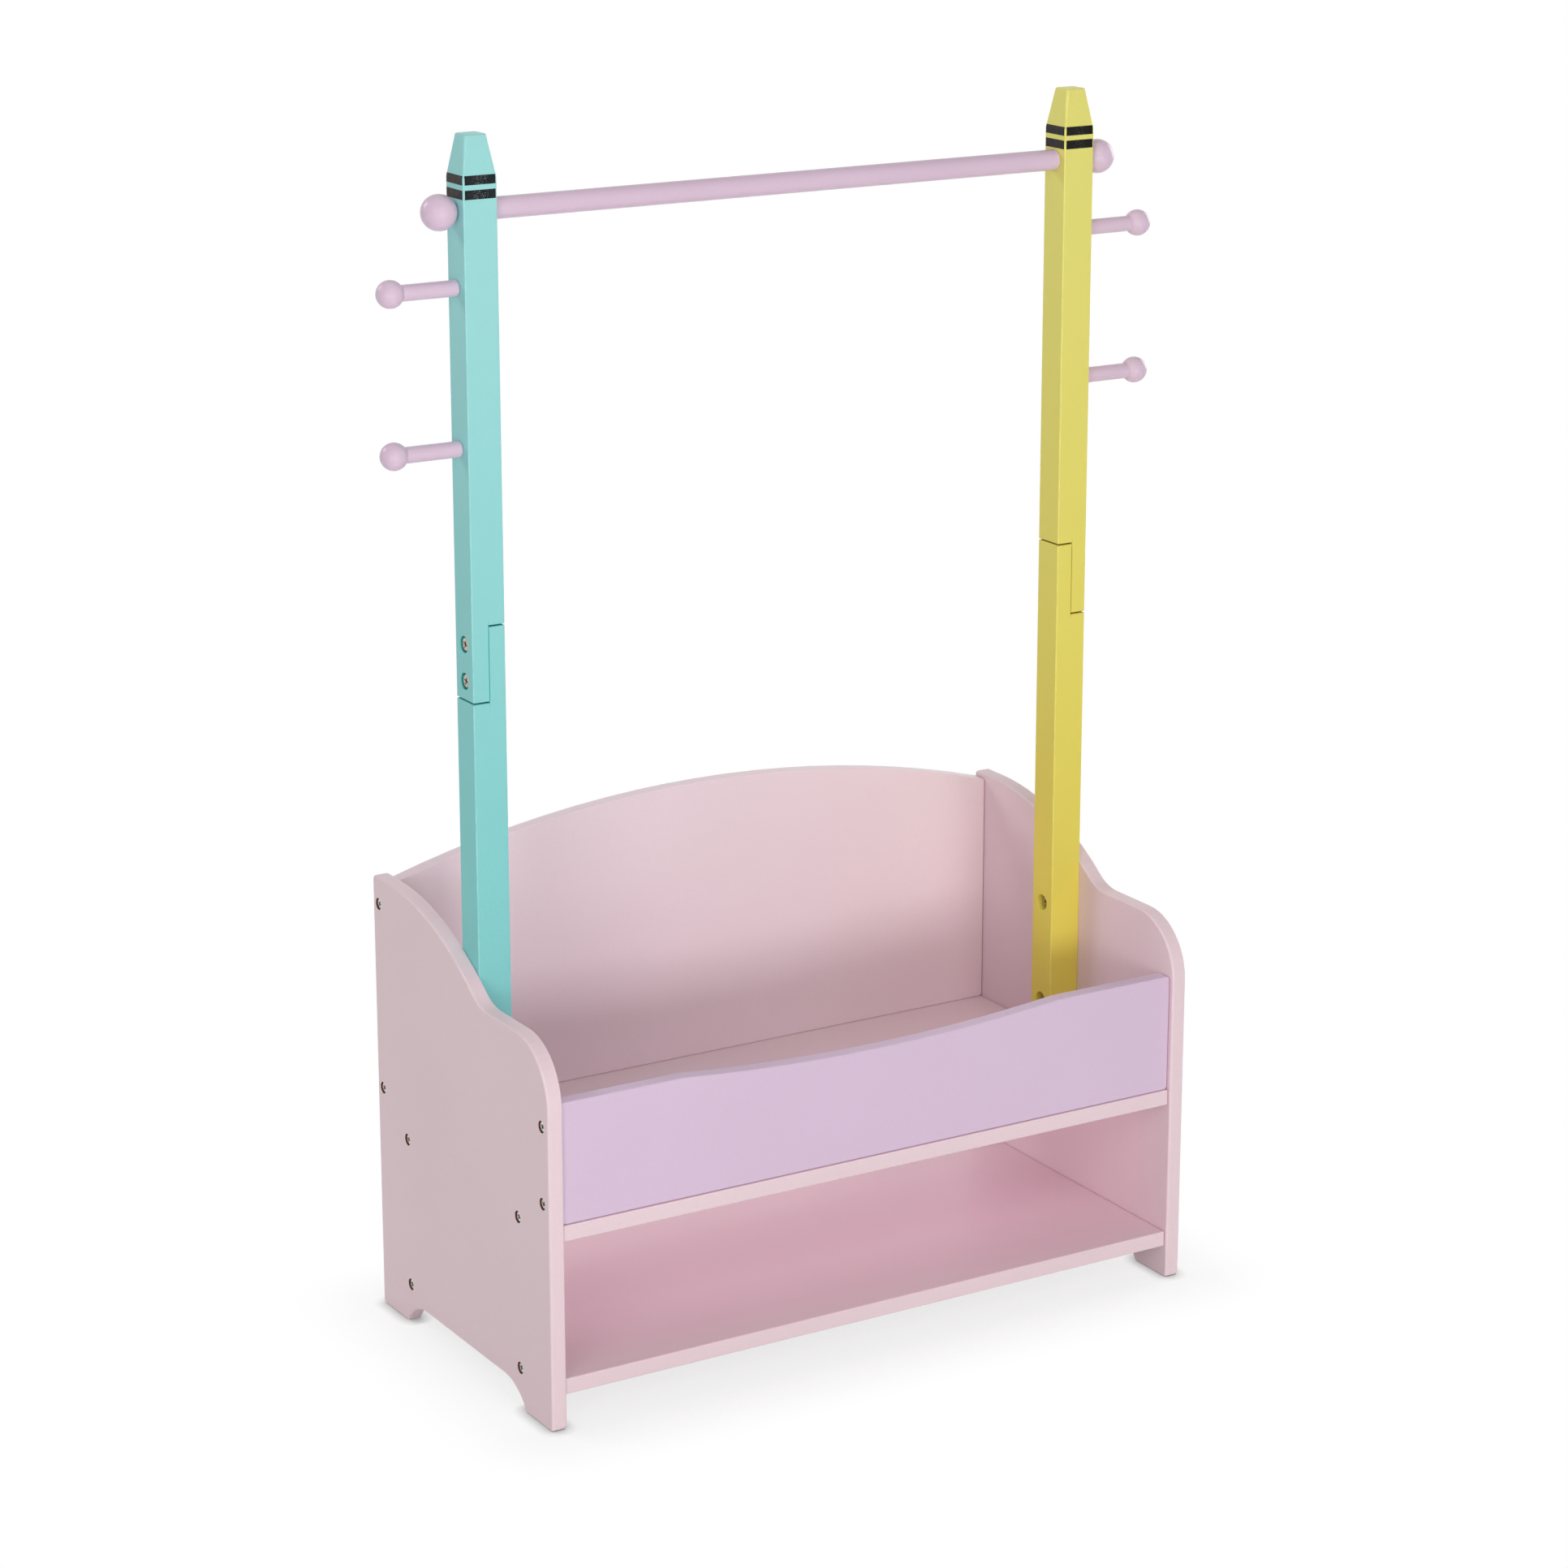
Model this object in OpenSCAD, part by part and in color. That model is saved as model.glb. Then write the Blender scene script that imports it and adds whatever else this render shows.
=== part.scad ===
// Free-standing clothing rack for a child's room: a painted board chest with an
// open bin and a lower shelf, two crayon-shaped posts, a hanging rail and four pegs.
// +X is to the right, the front faces -Y, +Z is up. The origin is on the floor,
// midway between the feet.

/* [Overall] */
// Width over the two side panels
rack_w = 686; // [560:1:860]
// Depth of the side panels from front to back
rack_d = 340; // [320:1:400]
// Height of the posts' tips above the floor
rack_h = 1130; // [1080:1:1300]

/* [Boards] */
// Thickness of every panel and shelf
board_t = 15; // [14:0.5:18]
// Radius of the side panels' rounded edges
edge_r = 2; // [1.5:0.25:3]
// Radius of the rounded edges on the boards between them
inner_edge_r = 1.5; // [1:0.25:2]
// Radius of the boards' outline corners
corner_r = 4; // [3.5:0.5:8]
// Distance of the shelves and panels in from the side panels' edges
set_back = 3; // [1:0.5:6]

/* [Side panels] */
// Height of the side panels at the back
side_back_h = 427; // [415:1:440]
// Height of the side panels at the front
side_front_h = 359.5; // [345:0.5:370]
// Length of the level top edge at the back
back_level_l = 27; // [15:1:40]
// Radius of the crest behind the posts
crest_r = 285; // [260:1:300]
// Radius of the hollow in front of the crest
hollow_r = 45; // [35:1:60]
// Radius of the nose at the top of the front edge
nose_r = 58; // [45:1:70]
// Length of each foot on the floor
foot_l = 50; // [40:1:65]
// Height of the arch between the feet
arch_h = 22.5; // [15:0.5:28]
// Radius of the arch's two ends
arch_r = 50; // [35:1:60]

/* [Back panel] */
// Drop of the back panel's ends below the side panels' tops
back_end_drop = 5; // [2:0.5:12]
// Rise of the back panel's arch over its ends
back_rise = 47; // [30:1:60]

/* [Bin front] */
// Height of the bin front above the bin floor, at its ends
front_h = 114; // [95:1:125]
// Distance of the bin front behind the shelves' front edges
front_recess = 2; // [0:0.5:4]
// Depth of the dip in its top edge
dip_depth = 10.5; // [6:0.5:16]
// Half the length of the dip
dip_half = 210; // [180:1:240]
// Radius of the shoulders at the dip's ends
shoulder_r = 145; // [60:5:300]

/* [Shelves] */
// Height of the bottom shelf's underside
low_shelf_z = 32; // [30:0.5:45]
// Height of the bin floor's underside
bin_floor_z = 177; // [165:1:190]

/* [Posts] */
// Width of the square posts
post_w = 32.5; // [30:0.5:36]
// Radius of the posts' long edges
post_r = 1.3; // [0.8:0.1:3]
// Centre of the posts behind the middle of the side panels
post_y = 2; // [-5:0.5:8]
// Width of the flat on the crayon tip
tip_w = 21.5; // [16:0.5:24]
// Length of the tapered crayon tip
tip_l = 37; // [30:1:42]
// Radius of the edge round the tip's flat
tip_edge_r = 1.3; // [0.6:0.1:1.5]
// Radius of the flat's corners, to which the tip's slanting edges widen
tip_corner_r = 3.2; // [2:0.2:4]
// Height of the middle of the half-lap joint
lap_z = 665; // [560:1:740]
// Length of the half-lap joint
lap_l = 69; // [62:1:90]
// Gap left at each shoulder of the half-lap joint
lap_gap = 0.9; // [0.5:0.1:1.2]
// Radius of the rounded ends at the joint's shoulders
lap_end_r = 1.6; // [0.8:0.1:2]
// Size of the eased edge along the joint's seams
lap_ease = 0.4; // [0.2:0.1:0.6]

/* [Printed bands] */
// Height of each black band
band_h = 8; // [6:0.5:9]
// Gap between the two bands
band_gap = 4.5; // [3:0.5:6]
// Height by which the upper band runs on to the taper
band_over = 3; // [2:0.5:4]
// Thickness of the band film
band_t = 0.2; // [0.15:0.05:0.3]

/* [Rail] */
// Diameter of the hanging rail
rail_d = 19.5; // [17:0.5:22]
// Drop of the rail's centre below the posts' tips
rail_drop = 65.7; // [65:0.1:72]
// Diameter of the ball at each end of the rail
rail_ball_d = 32; // [28:0.5:36]
// Depth of the flat where the ball meets the post
ball_flat = 0.5; // [0.3:0.1:1]

/* [Pegs] */
// Diameter of the peg rods
peg_d = 14.5; // [12:0.5:16]
// Distance from the post to the centre of the peg's ball
peg_l = 63.5; // [50:0.5:90]
// Diameter of the peg's ball
peg_ball_d = 24.8; // [22:0.2:28]
// Depth of the rod's socket in the ball
peg_socket = 8; // [6:0.5:10]
// Drop of the upper peg below the posts' tips
upper_peg_drop = 132; // [110:1:150]
// Distance from the upper peg to the lower peg
peg_pitch = 141; // [120:1:160]
// Radius of the rounded ends of the rail and the peg rods
rod_end_r = 1.5; // [0.8:0.1:2]

/* [Panel bolts] */
// Diameter of the bolts' shanks
bolt_d = 6; // [5:0.5:6.5]
// Length of the panel bolts' shanks
bolt_l = 50; // [48:1:54]
// Diameter of the panel bolts' heads
bolt_head_d = 10; // [9.5:0.5:12]
// Height of the bolt heads
bolt_head_h = 3; // [2:0.5:3.5]
// Depth of a bolt head below the surface
bolt_sink = 1.5; // [0.5:0.5:2.5]
// Distance of the shelf bolts from the side panels' front and back edges
shelf_bolt_in = 60; // [50:1:75]
// Distance of the bin front's and back panel's bolts from their ends
panel_bolt_in = 21; // [18:0.5:30]
// Height of the back panel's lower bolt above the bin floor
back_bolt_up = 28; // [20:1:60]
// Distance of the barrel nuts from the ends of the boards
nut_in = 32; // [28:1:34]
// Diameter of the barrel nuts
nut_d = 10; // [9:0.5:11]
// Length of the barrel nuts
nut_l = 12; // [10:0.5:12.5]

/* [Post bolts] */
// Diameter of the larger heads on the post and lap bolts
post_head_d = 13; // [12:0.5:14]
// Diameter of the painted recess round such a head
post_recess_d = 15.5; // [15:0.5:17]
// Depth of the recess in the post for its bolts to the side panel
post_recess = 8; // [6:0.5:12]
// Height of the lower post bolt above the bin floor
post_bolt_up = 47; // [35:1:55]
// Distance between the two bolts of a post
post_bolt_pitch = 100; // [80:1:105]
// Distance between the two bolts of the half-lap joint
lap_bolt_pitch = 33.5; // [30:0.5:40]
// Outside diameter of the threaded inserts
insert_d = 10; // [9:0.5:11]
// Length of the threaded inserts
insert_l = 11; // [9:0.5:12]

/* [Dowels and studs] */
// Diameter of the locating dowels
dowel_d = 8; // [6:0.5:8]
// Length of the locating dowels
dowel_l = 30; // [25:1:35]
// Depth of a dowel in the side panel
dowel_in_side = 10; // [8:0.5:10.5]
// Distance of the shelf dowels from the shelf bolts
dowel_from_bolt = 35; // [20:1:50]
// Length of a stud inside the rail, a rod or a ball
stud_in_rod = 20; // [14:0.5:22]
// Length of a stud inside the rail's ball
stud_in_ball = 17; // [12:0.5:20]
// Length of a peg's stud inside the post
stud_in_post = 18; // [14:0.5:20]
// Size of the eased edge on the studs' ends
stud_ease = 0.8; // [0.4:0.1:1.2]

/* [Fits] */
// Clearance all round a rod, dowel, nut or insert in its hole
fit = 0.1; // [0.05:0.05:0.2]
// Clearance all round a bolt in its hole
bolt_fit = 0.4; // [0.2:0.1:0.6]
// Clearance all round a bolt head in its recess
head_fit = 0.75; // [0.5:0.05:1]
// Free length at the bottom of a blind hole
hole_spare = 0.6; // [0.4:0.1:1]

/* [Hidden] */

pink = [0.88, 0.76, 0.80];
lilac = [0.84, 0.75, 0.86];
teal = [0.55, 0.84, 0.81];
yellow = [0.85, 0.84, 0.42];
black = [0.12, 0.12, 0.13];
zinc = [0.78, 0.79, 0.80];
beech = [0.80, 0.66, 0.47];

// Steps of a rounded edge and of a corner, and of the short, long and widest arcs of an outline
edge_steps = 4;
corner_steps = 4;
short_steps = 6;
long_steps = 12;
wide_steps = 20;

half_w = rack_w / 2;
half_d = rack_d / 2;
inner_x = half_w - board_t;
front_y = -half_d + set_back;
rear_y = half_d - set_back;
bin_front_y = front_y + front_recess;
bin_top_z = bin_floor_z + board_t;
front_top_z = bin_top_z + front_h;
back_end_z = side_back_h - back_end_drop;

// Posts stand inside the side panels, on the bin floor
post_in_x = inner_x - post_w;
post_mid_x = inner_x - post_w / 2;
taper_z = rack_h - tip_l;
lap_top = lap_z + lap_l / 2;
lap_bottom = lap_z - lap_l / 2;
rail_z = rack_h - rail_drop;
peg_heights = [rack_h - upper_peg_drop, rack_h - upper_peg_drop - peg_pitch];
lap_bolt_heights = [lap_z - lap_bolt_pitch / 2, lap_z + lap_bolt_pitch / 2];
post_bolt_heights = [bin_top_z + post_bolt_up, bin_top_z + post_bolt_up + post_bolt_pitch];

// Every place on a side panel, as [y, z]
shelf_bolt_y = half_d - shelf_bolt_in;
shelf_dowel_y = shelf_bolt_y - dowel_from_bolt;
low_mid_z = low_shelf_z + board_t / 2;
bin_mid_z = bin_floor_z + board_t / 2;
front_mid_y = bin_front_y + board_t / 2;
rear_mid_y = rear_y - board_t / 2;
front_bolt_heights = [bin_top_z + panel_bolt_in, front_top_z - panel_bolt_in];
back_bolt_heights = [bin_top_z + back_bolt_up, back_end_z - panel_bolt_in];
shelf_bolts = concat(pair(shelf_bolt_y, low_mid_z), pair(shelf_bolt_y, bin_mid_z));
front_bolts = [for (z = front_bolt_heights) [front_mid_y, z]];
back_bolts = [for (z = back_bolt_heights) [rear_mid_y, z]];
side_bolts = concat(shelf_bolts, front_bolts, back_bolts);
shelf_dowels = concat(pair(shelf_dowel_y, low_mid_z), pair(shelf_dowel_y, bin_mid_z));
front_dowel = [front_mid_y, (front_bolt_heights[0] + front_bolt_heights[1]) / 2];
back_dowel = [rear_mid_y, (back_bolt_heights[0] + back_bolt_heights[1]) / 2];
side_dowels = concat(shelf_dowels, [front_dowel, back_dowel]);

bolt_seat = bolt_sink + bolt_head_h;
dowel_out = dowel_l - dowel_in_side;
nut_hole_l = (board_t + nut_l) / 2 + hole_spare;
bolt_reach = bolt_l + bolt_seat - board_t;

// Inward slope of the crayon tips' faces
lean = (post_w - tip_w) / 2 / (tip_l - tip_edge_r);

// Distance from the centre of a peg's ball to the edge of its socket
peg_seat = sqrt(pow(peg_ball_d / 2, 2) - pow(peg_d / 2 + fit, 2));

// Two places at the same height, alike in front and behind
function pair(y, z) = [[-y, z], [y, z]];

// Points of an arc about a centre, from one angle to another, in even steps
function arc(centre, r, from, to, steps, first = 0) = [
    for (i = [first:steps]) let (a = from + (to - from) * i / steps)
        centre + r * [cos(a), sin(a)]
];

// The same for an arc that runs on from the last point of another
function next_arc(centre, r, from, to, steps) = arc(centre, r, from, to, steps, 1);

// Outline of a side panel, in by a distance d, as [y, z], counter-clockwise
crest_turn = acos(1 - (side_back_h - side_front_h) / (crest_r + hollow_r));
crest_centre = [half_d - back_level_l, side_back_h - crest_r];
hollow_centre = crest_centre + (crest_r + hollow_r) * [-sin(crest_turn), cos(crest_turn)];
nose_centre = [-half_d + nose_r, side_front_h - nose_r];
arch_centre_z = arch_h - arch_r;
arch_level = half_d - foot_l - sqrt(pow(arch_r, 2) - pow(arch_centre_z, 2));

function foot_angle(d) = asin((d - arch_centre_z) / (arch_r + d));

function side_outline(d) = concat(
    arc([-arch_level, arch_centre_z], arch_r + d, 180 - foot_angle(d), 90, short_steps),
    arc([arch_level, arch_centre_z], arch_r + d, 90, foot_angle(d), short_steps),
    arc([half_d - corner_r, corner_r], corner_r - d, -90, 0, corner_steps),
    arc([half_d - corner_r, side_back_h - corner_r], corner_r - d, 0, 90, corner_steps),
    arc(crest_centre, crest_r - d, 90, 90 + crest_turn, long_steps),
    next_arc(hollow_centre, hollow_r + d, 270 + crest_turn, 270, short_steps),
    arc(nose_centre, nose_r - d, 90, 180, long_steps),
    arc([-half_d + corner_r, corner_r], corner_r - d, 180, 270, corner_steps)
);

// Outline of the back panel, in by a distance d, as [x, z]
back_arch_r = (pow(inner_x, 2) + pow(back_rise, 2)) / (2 * back_rise);
back_arch_z = back_end_z + back_rise - back_arch_r;
back_corner_x = inner_x - corner_r;
back_corner_z = back_arch_z + sqrt(pow(back_arch_r - corner_r, 2) - pow(back_corner_x, 2));
back_turn = atan2(back_corner_z - back_arch_z, back_corner_x);

function back_outline(d) = concat(
    arc([-back_corner_x, bin_top_z + corner_r], corner_r - d, 180, 270, corner_steps),
    arc([back_corner_x, bin_top_z + corner_r], corner_r - d, 270, 360, corner_steps),
    arc([back_corner_x, back_corner_z], corner_r - d, 0, back_turn, corner_steps),
    next_arc([0, back_arch_z], back_arch_r - d, back_turn, 180 - back_turn, wide_steps),
    next_arc([-back_corner_x, back_corner_z], corner_r - d, 180 - back_turn, 180, corner_steps)
);

// Outline of the bin front, whose top edge dips between two level shoulders
dip_r = (pow(dip_half, 2) + pow(dip_depth, 2)) / (2 * dip_depth) - shoulder_r;
dip_turn = asin(dip_half / (dip_r + shoulder_r));
shoulder_z = front_top_z - shoulder_r;
dip_centre_z = front_top_z - dip_depth + dip_r;

function front_outline(d) = concat(
    arc([-back_corner_x, bin_top_z + corner_r], corner_r - d, 180, 270, corner_steps),
    arc([back_corner_x, bin_top_z + corner_r], corner_r - d, 270, 360, corner_steps),
    arc([back_corner_x, front_top_z - corner_r], corner_r - d, 0, 90, corner_steps),
    arc([dip_half, shoulder_z], shoulder_r - d, 90, 90 + dip_turn, short_steps),
    next_arc([0, dip_centre_z], dip_r + d, 270 + dip_turn, 270 - dip_turn, long_steps),
    next_arc([-dip_half, shoulder_z], shoulder_r - d, 90 - dip_turn, 90, short_steps),
    arc([-back_corner_x, front_top_z - corner_r], corner_r - d, 90, 180, corner_steps)
);

// Points inside the three outlines from which every point of the outline can be seen
side_hub = [0, 0.75 * side_front_h];
back_hub = [0, (bin_top_z + back_end_z) / 2];
front_hub = [0, (bin_top_z + front_top_z) / 2];

// A board in the XY plane with both its faces rounded over along the outline. Its
// rings run up the edge, and each face is a fan of triangles about the hub.
module board(outline, hub, r) {
    insets = [for (i = [0:edge_steps]) let (a = 90 * i / edge_steps) r * [1 - sin(a), 1 - cos(a)]];
    rings = concat(
        [for (i = [0:edge_steps]) [for (p = outline(insets[i][0])) [p.x, p.y, insets[i][1]]]],
        [for (i = [edge_steps:-1:0]) [for (p = outline(insets[i][0])) [p.x, p.y, board_t - insets[i][1]]]]
    );
    n = len(rings[0]);
    top = len(rings) - 1;
    low_hub = len(rings) * n;
    faces = [
        for (i = [0:n - 1]) let (j = (i + 1) % n) each concat(
            [for (k = [0:top - 1]) each [
                [k * n + i, (k + 1) * n + i, (k + 1) * n + j],
                [k * n + i, (k + 1) * n + j, k * n + j]
            ]],
            [[low_hub, i, j], [low_hub + 1, top * n + j, top * n + i]]
        )
    ];
    polyhedron(
        points = concat(
            [for (ring = rings) each ring],
            [[hub.x, hub.y, 0], [hub.x, hub.y, board_t]]
        ),
        faces = faces
    );
}

// A rectangle with rounded corners about the origin
module rounded_rect(w, h, r) {
    square([w - 2 * r, h], center = true);
    square([w, h - 2 * r], center = true);
    for (x = [-1, 1], y = [-1, 1])
        translate([x * (w / 2 - r), y * (h / 2 - r)]) circle(r, $fn = 32);
}

// Puts its children at a place on the left side panel, looking in along +X
module at_left(x, place) {
    translate([x, place[0], place[1]]) rotate([0, 90, 0]) children();
}

// Repeats its children on the right
module both_sides() {
    children();
    mirror([1, 0, 0]) children();
}

// A hole along +Z
module hole(d, l) {
    cylinder(d = d, h = l, $fn = 32);
}

// Cross-recessed bolt along +Z, with its head below the origin
module bolt(head_d, l) {
    ease = 0.7;
    cross_l = 0.52 * head_d;
    cross_w = 1.3;
    cross_depth = 0.6 * bolt_head_h;
    cross_turn = 20;
    difference() {
        rotate_extrude($fn = 40) polygon([
            [0, -bolt_head_h], [head_d / 2 - ease, -bolt_head_h], [head_d / 2, ease - bolt_head_h],
            [head_d / 2, 0], [bolt_d / 2, 0], [bolt_d / 2, l - ease], [bolt_d / 2 - ease, l], [0, l]
        ]);
        for (turn = [cross_turn, cross_turn + 90])
            rotate([0, 0, turn])
                translate([-cross_l / 2, -cross_w / 2, -bolt_head_h - 1])
                    cube([cross_l, cross_w, cross_depth + 1]);
    }
}

// Round bar along +Z, its ends rounded in a few steps or eased in one
module rod(d, l, r, steps = 1) {
    rotate_extrude($fn = 48) polygon(concat(
        [[0, 0]], arc([d / 2 - r, r], r, -90, 0, steps), arc([d / 2 - r, l - r], r, 0, 90, steps), [[0, l]]
    ));
}

// Threaded insert along +Z
module insert() {
    ease = 0.6;
    rotate_extrude($fn = 40) polygon([
        [bolt_d / 2 + fit, 0], [insert_d / 2, 0], [insert_d / 2, insert_l - ease],
        [insert_d / 2 - ease, insert_l], [bolt_d / 2 + fit, insert_l]
    ]);
}

// Side panel on the left, with its bolt, dowel and insert holes
module side_panel() {
    difference() {
        translate([-half_w, 0, 0]) rotate([90, 0, 90])
            board(function(d) side_outline(d), side_hub, edge_r);
        for (p = side_bolts) {
            at_left(-half_w - 1, p) hole(bolt_head_d + 2 * head_fit, bolt_seat + 1);
            at_left(-half_w, p) hole(bolt_d + 2 * bolt_fit, board_t + 1);
        }
        for (p = side_dowels)
            at_left(-inner_x - dowel_in_side - hole_spare, p)
                hole(dowel_d + 2 * fit, dowel_in_side + hole_spare + 1);
        for (z = post_bolt_heights)
            at_left(-inner_x - insert_l - hole_spare, [post_y, z])
                hole(insert_d + 2 * fit, insert_l + hole_spare + 1);
    }
}

// Bolt and dowel holes in the two ends of a board
module end_holes(bolts, dowels) {
    both_sides() {
        for (p = bolts)
            at_left(-inner_x - 1, p) hole(bolt_d + 2 * bolt_fit, bolt_reach + hole_spare + 1);
        for (p = dowels)
            at_left(-inner_x - 1, p) hole(dowel_d + 2 * fit, dowel_out + hole_spare + 1);
    }
}

// Holes for the barrel nuts of one board, drilled in from the face at the origin along +Z
module nut_hole() {
    translate([0, 0, -1]) hole(nut_d + 2 * fit, nut_hole_l + 1);
}

module left_side_panel() {
    color(pink) side_panel();
}

module right_side_panel() {
    color(pink) mirror([1, 0, 0]) side_panel();
}

module back_panel() {
    color(pink) difference() {
        translate([0, rear_y, 0]) rotate([90, 0, 0])
            board(function(d) back_outline(d), back_hub, inner_edge_r);
        end_holes(back_bolts, [back_dowel]);
        both_sides()
            for (z = back_bolt_heights)
                translate([-inner_x + nut_in, rear_y, z]) rotate([90, 0, 0]) nut_hole();
    }
}

module bin_front_panel() {
    color(lilac) difference() {
        translate([0, bin_front_y + board_t, 0]) rotate([90, 0, 0])
            board(function(d) front_outline(d), front_hub, inner_edge_r);
        end_holes(front_bolts, [front_dowel]);
        both_sides()
            for (z = front_bolt_heights)
                translate([-inner_x + nut_in, bin_front_y + board_t, z]) rotate([90, 0, 0]) nut_hole();
    }
}

// A shelf between the side panels, with all its edges rounded over
module shelf(z) {
    w = 2 * inner_x;
    d = rear_y - front_y;
    mid_z = z + board_t / 2;
    color(pink) difference() {
        translate([0, 0, mid_z]) intersection() {
            linear_extrude(board_t, center = true) rounded_rect(w, d, inner_edge_r);
            rotate([90, 0, 0]) linear_extrude(d, center = true) rounded_rect(w, board_t, inner_edge_r);
            rotate([90, 0, 90]) linear_extrude(w, center = true) rounded_rect(d, board_t, inner_edge_r);
        }
        end_holes(pair(shelf_bolt_y, mid_z), pair(shelf_dowel_y, mid_z));
        both_sides()
            for (y = [-shelf_bolt_y, shelf_bolt_y])
                translate([-inner_x + nut_in, y, z]) nut_hole();
    }
}

module bin_floor() {
    shelf(bin_floor_z);
}

module bottom_shelf() {
    shelf(low_shelf_z);
}

// Straight length of the left post between two heights
module post_bar(from, to) {
    translate([-post_mid_x, post_y, from])
        linear_extrude(to - from) rounded_rect(post_w, post_w, post_r);
}

// Block over half of the post's section, on its outer side (-1) or its inner side (1)
module lap_half(side, from, to) {
    translate([-post_mid_x + side * post_w / 2, post_y, (from + to) / 2])
        cube([post_w, 2 * post_w, to - from], center = true);
}

// Gap at a shoulder of the joint with both its edges rounded over on the post's outside,
// and on a free end on the seam's side too
module shoulder(side, z, free_end) {
    reach = lap_gap / 2 + lap_end_r;
    profile = concat(
        [[1, -reach]], arc([-lap_end_r, -reach], lap_end_r, 0, 90, edge_steps),
        arc([-lap_end_r, reach], lap_end_r, -90, 0, edge_steps), [[1, reach]]
    );
    faces = concat([for (turn = [-90, 0, 90]) [turn, post_w / 2]], free_end ? [[180, 0]] : []);
    intersection() {
        lap_half(side, z - reach, z + reach);
        translate([-post_mid_x, post_y, z]) rotate([0, 0, side > 0 ? 0 : 180])
            for (face = faces)
                rotate([0, 0, face[0]]) translate([face[1], 0, 0]) rotate([90, 0, 0])
                    linear_extrude(post_w + 2, center = true) polygon(profile);
    }
}

// Small V grooves along the joint's seams on the front and the back
module seams() {
    side = sqrt(2) * lap_ease;
    for (y = [-1, 1])
        translate([-post_mid_x, post_y + y * post_w / 2, lap_z]) rotate([0, 0, 45])
            cube([side, side, lap_l + lap_gap], center = true);
}

// Post up to the half-lap joint: its inner half runs on to the joint's top
module post_lower(paint) {
    color(paint) difference() {
        post_bar(bin_top_z, lap_top - lap_gap / 2);
        lap_half(-1, lap_bottom - lap_gap / 2, lap_top + 1);
        shoulder(-1, lap_bottom, false);
        shoulder(1, lap_top, true);
        seams();
        for (z = post_bolt_heights) {
            at_left(-inner_x - 1, [post_y, z]) hole(bolt_d + 2 * bolt_fit, post_w + 2);
            at_left(-post_in_x - post_recess, [post_y, z]) hole(post_recess_d, post_recess + 1);
        }
        for (z = lap_bolt_heights)
            at_left(-post_mid_x - 1, [post_y, z]) hole(insert_d + 2 * fit, insert_l + hole_spare + 1);
    }
}

// Tapered four-sided tip with rounded corners and an eased flat
module crayon_tip() {
    thin = 0.01;
    translate([-post_mid_x, post_y, taper_z]) hull() {
        linear_extrude(thin) rounded_rect(post_w, post_w, post_r);
        for (a = [0:30:90]) {
            w = tip_w - 2 * tip_edge_r * (1 - cos(a));
            translate([0, 0, tip_l - tip_edge_r * (1 - sin(a)) - thin])
                linear_extrude(thin) rounded_rect(w, w, tip_corner_r);
        }
    }
}

// Post above the joint: its outer half runs down to the joint's bottom
module post_upper(paint) {
    color(paint) difference() {
        union() {
            post_bar(lap_bottom + lap_gap / 2, taper_z);
            crayon_tip();
        }
        lap_half(1, lap_bottom - 1, lap_top + lap_gap / 2);
        shoulder(1, lap_top, false);
        shoulder(-1, lap_bottom, true);
        seams();
        for (z = lap_bolt_heights) {
            at_left(-inner_x - 1, [post_y, z]) hole(post_recess_d, bolt_seat + 1);
            at_left(-inner_x, [post_y, z]) hole(bolt_d + 2 * bolt_fit, post_w);
        }
        for (z = peg_heights)
            at_left(-inner_x - 1, [post_y, z]) hole(bolt_d + 2 * fit, stud_in_post + hole_spare + 1);
        at_left(-inner_x - 1, [post_y, rail_z]) hole(bolt_d + 2 * bolt_fit, post_w + 2);
    }
}

module left_post_lower() {
    post_lower(teal);
}

module left_post_upper() {
    post_upper(teal);
}

module right_post_lower() {
    mirror([1, 0, 0]) post_lower(yellow);
}

module right_post_upper() {
    mirror([1, 0, 0]) post_upper(yellow);
}

// Two printed bands on each face of the left post, the upper one bent over the taper's foot
module post_bands() {
    flat_w = post_w - 2 * post_r - lean * band_over;
    low_z = taper_z + band_over - 2 * band_h - band_gap;
    step_z = taper_z + band_over - band_h;
    for (turn = [0:90:270])
        translate([-post_mid_x, post_y, 0]) rotate([0, 0, turn])
            translate([post_w / 2, 0, 0]) rotate([90, 0, 0])
                linear_extrude(flat_w, center = true) {
                    translate([0, low_z]) square([band_t, band_h]);
                    polygon([
                        [0, step_z], [band_t, step_z], [band_t, taper_z],
                        [band_t - lean * band_over, taper_z + band_over],
                        [-lean * band_over, taper_z + band_over], [0, taper_z]
                    ]);
                }
}

module left_post_bands() {
    color(black) post_bands();
}

module right_post_bands() {
    color(black) mirror([1, 0, 0]) post_bands();
}

// Rail that butts on both posts, with a hole for a stud in each end
module hanging_rail() {
    color(lilac) difference() {
        at_left(-post_in_x, [post_y, rail_z]) rod(rail_d, 2 * post_in_x, rod_end_r, edge_steps);
        both_sides()
            at_left(-post_in_x - 1, [post_y, rail_z]) hole(bolt_d + 2 * fit, stud_in_rod + hole_spare + 1);
    }
}

// Ball whose flat lies on the post's outer face
module rail_ball() {
    r = rail_ball_d / 2;
    centre_x = -inner_x - r + ball_flat;
    color(lilac) difference() {
        translate([centre_x, post_y, rail_z]) rotate([0, 90, 0]) sphere(r, $fn = 64);
        translate([-inner_x, post_y - r, rail_z - r]) cube(2 * r);
        at_left(-inner_x - stud_in_ball - hole_spare, [post_y, rail_z])
            hole(bolt_d + 2 * fit, stud_in_ball + hole_spare + 1);
    }
}

module left_rail_ball() {
    rail_ball();
}

module right_rail_ball() {
    mirror([1, 0, 0]) rail_ball();
}

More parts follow.
